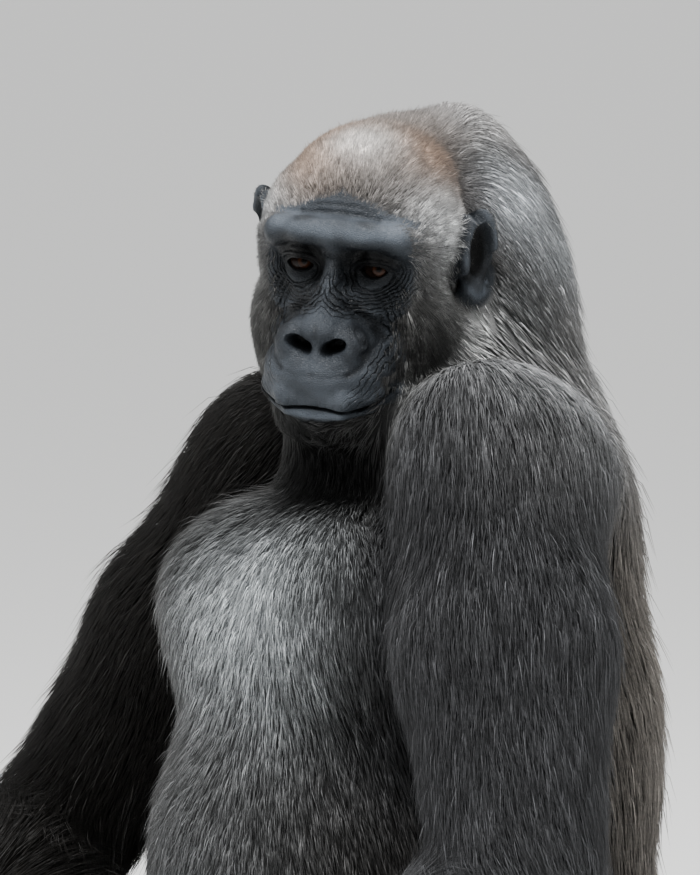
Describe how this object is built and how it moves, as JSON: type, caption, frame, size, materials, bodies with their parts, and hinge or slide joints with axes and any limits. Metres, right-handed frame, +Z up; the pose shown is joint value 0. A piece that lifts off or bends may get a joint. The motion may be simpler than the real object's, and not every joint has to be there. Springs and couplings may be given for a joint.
{
  "type": "gorilla model",
  "caption": "Life-size still gorilla sitting on its rump, legs folded, arms hanging over the knees, fingertips on the floor, head turned left.",
  "frame": {"origin": "middle of the model's bounding box at floor level", "axes": "+Z up, chest facing -Y, the animal's left side towards +X"},
  "size_m": [0.75, 0.7338, 0.8292],
  "materials": {
    "coat": "dense black-brown coat with grey tips, matt",
    "bare_skin": "bare slate-black skin, finely creased, satin",
    "eye": "wet, glossy, dark red-brown"
  },
  "bodies": {
    "root": {"ear_left": "bare_skin", "ear_right": "bare_skin", "eye_left": "eye", "eye_right": "eye", "foot_left": "bare_skin", "foot_right": "bare_skin", "forearm_left": "coat", "forearm_right": "coat", "hand_left": "bare_skin", "hand_right": "bare_skin", "head": "coat", "neck": "coat", "shank_left": "coat", "shank_right": "coat", "thigh_left": "coat", "thigh_right": "coat", "trunk": "coat", "upper_arm_left": "coat", "upper_arm_right": "coat"}
  },
  "joints": []
}
